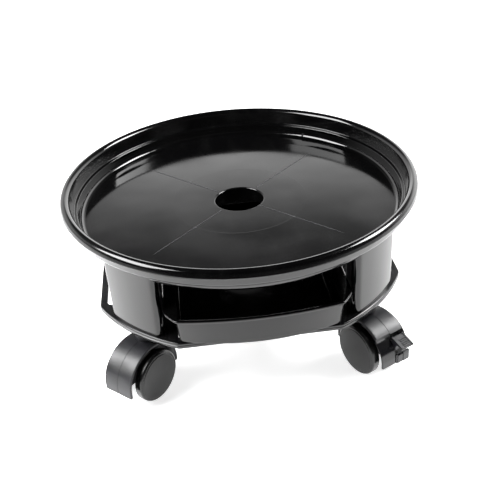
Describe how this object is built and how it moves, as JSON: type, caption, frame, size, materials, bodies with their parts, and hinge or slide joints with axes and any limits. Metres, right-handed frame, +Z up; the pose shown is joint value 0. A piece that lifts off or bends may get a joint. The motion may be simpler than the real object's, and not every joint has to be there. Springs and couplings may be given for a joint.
{
  "type": "plant pot caddy",
  "caption": "Round wheeled plant pot caddy: a rimmed dish on curved legs over a flat base, with a pull-out water drawer and swivelling twin-wheel casters.",
  "frame": {"origin": "on the floor under the middle of the dish", "axes": "+Z up along the dish's axis, -Y towards the side that the drawer pulls out of, +X to the right seen from there"},
  "size_m": [0.35, 0.35, 0.161],
  "materials": {
    "gloss_black": "polished injection moulding",
    "satin_black": "satin injection moulding",
    "hood_plastic": "fine spark-eroded texture",
    "wheel_plastic": "smooth moulding",
    "zinc_steel": "zinc plated"
  },
  "bodies": {
    "caddy": {"top_dish": "gloss_black", "base_frame": "satin_black", "leg_screw_front_left_a": "zinc_steel", "leg_screw_front_left_b": "zinc_steel", "leg_screw_front_right_a": "zinc_steel", "leg_screw_front_right_b": "zinc_steel", "leg_screw_back_left_a": "zinc_steel", "leg_screw_back_left_b": "zinc_steel", "leg_screw_back_right_a": "zinc_steel", "leg_screw_back_right_b": "zinc_steel", "caster_stem_front_left": "zinc_steel", "caster_stem_front_right": "zinc_steel", "caster_stem_back_left": "zinc_steel", "caster_stem_back_right": "zinc_steel"},
    "drawer": {"drawer": "gloss_black"},
    "caster_front_left": {"caster_hood_front_left": "hood_plastic", "wheel_axle_front_left": "zinc_steel"},
    "left_wheel_front_left": {"left_wheel_front_left": "wheel_plastic"},
    "right_wheel_front_left": {"right_wheel_front_left": "wheel_plastic"},
    "caster_front_right": {"caster_hood_front_right": "hood_plastic", "wheel_axle_front_right": "zinc_steel", "brake_pin_front_right": "zinc_steel"},
    "left_wheel_front_right": {"left_wheel_front_right": "wheel_plastic"},
    "right_wheel_front_right": {"right_wheel_front_right": "wheel_plastic"},
    "brake_front_right": {"brake_lever_front_right": "hood_plastic"},
    "caster_back_left": {"caster_hood_back_left": "hood_plastic", "wheel_axle_back_left": "zinc_steel", "brake_pin_back_left": "zinc_steel"},
    "left_wheel_back_left": {"left_wheel_back_left": "wheel_plastic"},
    "right_wheel_back_left": {"right_wheel_back_left": "wheel_plastic"},
    "brake_back_left": {"brake_lever_back_left": "hood_plastic"},
    "caster_back_right": {"caster_hood_back_right": "hood_plastic", "wheel_axle_back_right": "zinc_steel"},
    "left_wheel_back_right": {"left_wheel_back_right": "wheel_plastic"},
    "right_wheel_back_right": {"right_wheel_back_right": "wheel_plastic"}
  },
  "joints": [
    {"name": "drawer_slide", "type": "slide", "parent": "caddy", "child": "drawer", "axis": [0, -1, 0], "range_m": [0, 0.17]},
    {"name": "caster_swivel_front_left", "type": "hinge", "parent": "caddy", "child": "caster_front_left", "pos_m": [-0.104, -0.104, 0.05], "axis": [0, 0, 1], "continuous": true},
    {"name": "left_wheel_spin_front_left", "type": "hinge", "parent": "caster_front_left", "child": "left_wheel_front_left", "pos_m": [-0.11194, -0.113, 0.025], "axis": [0.7501, -0.6613, 0], "continuous": true},
    {"name": "right_wheel_spin_front_left", "type": "hinge", "parent": "caster_front_left", "child": "right_wheel_front_left", "pos_m": [-0.11194, -0.113, 0.025], "axis": [0.7501, -0.6613, 0], "continuous": true},
    {"name": "caster_swivel_front_right", "type": "hinge", "parent": "caddy", "child": "caster_front_right", "pos_m": [0.104, -0.104, 0.05], "axis": [0, 0, 1], "continuous": true},
    {"name": "left_wheel_spin_front_right", "type": "hinge", "parent": "caster_front_right", "child": "left_wheel_front_right", "pos_m": [0.10945, -0.11469, 0.025], "axis": [0.891, 0.454, 0], "continuous": true},
    {"name": "right_wheel_spin_front_right", "type": "hinge", "parent": "caster_front_right", "child": "right_wheel_front_right", "pos_m": [0.10945, -0.11469, 0.025], "axis": [0.891, 0.454, 0], "continuous": true},
    {"name": "brake_pivot_front_right", "type": "hinge", "parent": "caster_front_right", "child": "brake_front_right", "pos_m": [0.11944, -0.13429, 0.037], "axis": [0.891, 0.454, 0], "range_deg": [0, 16]},
    {"name": "caster_swivel_back_left", "type": "hinge", "parent": "caddy", "child": "caster_back_left", "pos_m": [-0.104, 0.104, 0.05], "axis": [0, 0, 1], "continuous": true},
    {"name": "left_wheel_spin_back_left", "type": "hinge", "parent": "caster_back_left", "child": "left_wheel_back_left", "pos_m": [-0.11319, 0.11171, 0.025], "axis": [-0.6428, -0.766, 0], "continuous": true},
    {"name": "right_wheel_spin_back_left", "type": "hinge", "parent": "caster_back_left", "child": "right_wheel_back_left", "pos_m": [-0.11319, 0.11171, 0.025], "axis": [-0.6428, -0.766, 0], "continuous": true},
    {"name": "brake_pivot_back_left", "type": "hinge", "parent": "caster_back_left", "child": "brake_back_left", "pos_m": [-0.13005, 0.12585, 0.037], "axis": [-0.6428, -0.766, 0], "range_deg": [0, 16]},
    {"name": "caster_swivel_back_right", "type": "hinge", "parent": "caddy", "child": "caster_back_right", "pos_m": [0.104, 0.104, 0.05], "axis": [0, 0, 1], "continuous": true},
    {"name": "left_wheel_spin_back_right", "type": "hinge", "parent": "caster_back_right", "child": "left_wheel_back_right", "pos_m": [0.11439, 0.11, 0.025], "axis": [-0.5, 0.866, 0], "continuous": true},
    {"name": "right_wheel_spin_back_right", "type": "hinge", "parent": "caster_back_right", "child": "right_wheel_back_right", "pos_m": [0.11439, 0.11, 0.025], "axis": [-0.5, 0.866, 0], "continuous": true}
  ]
}
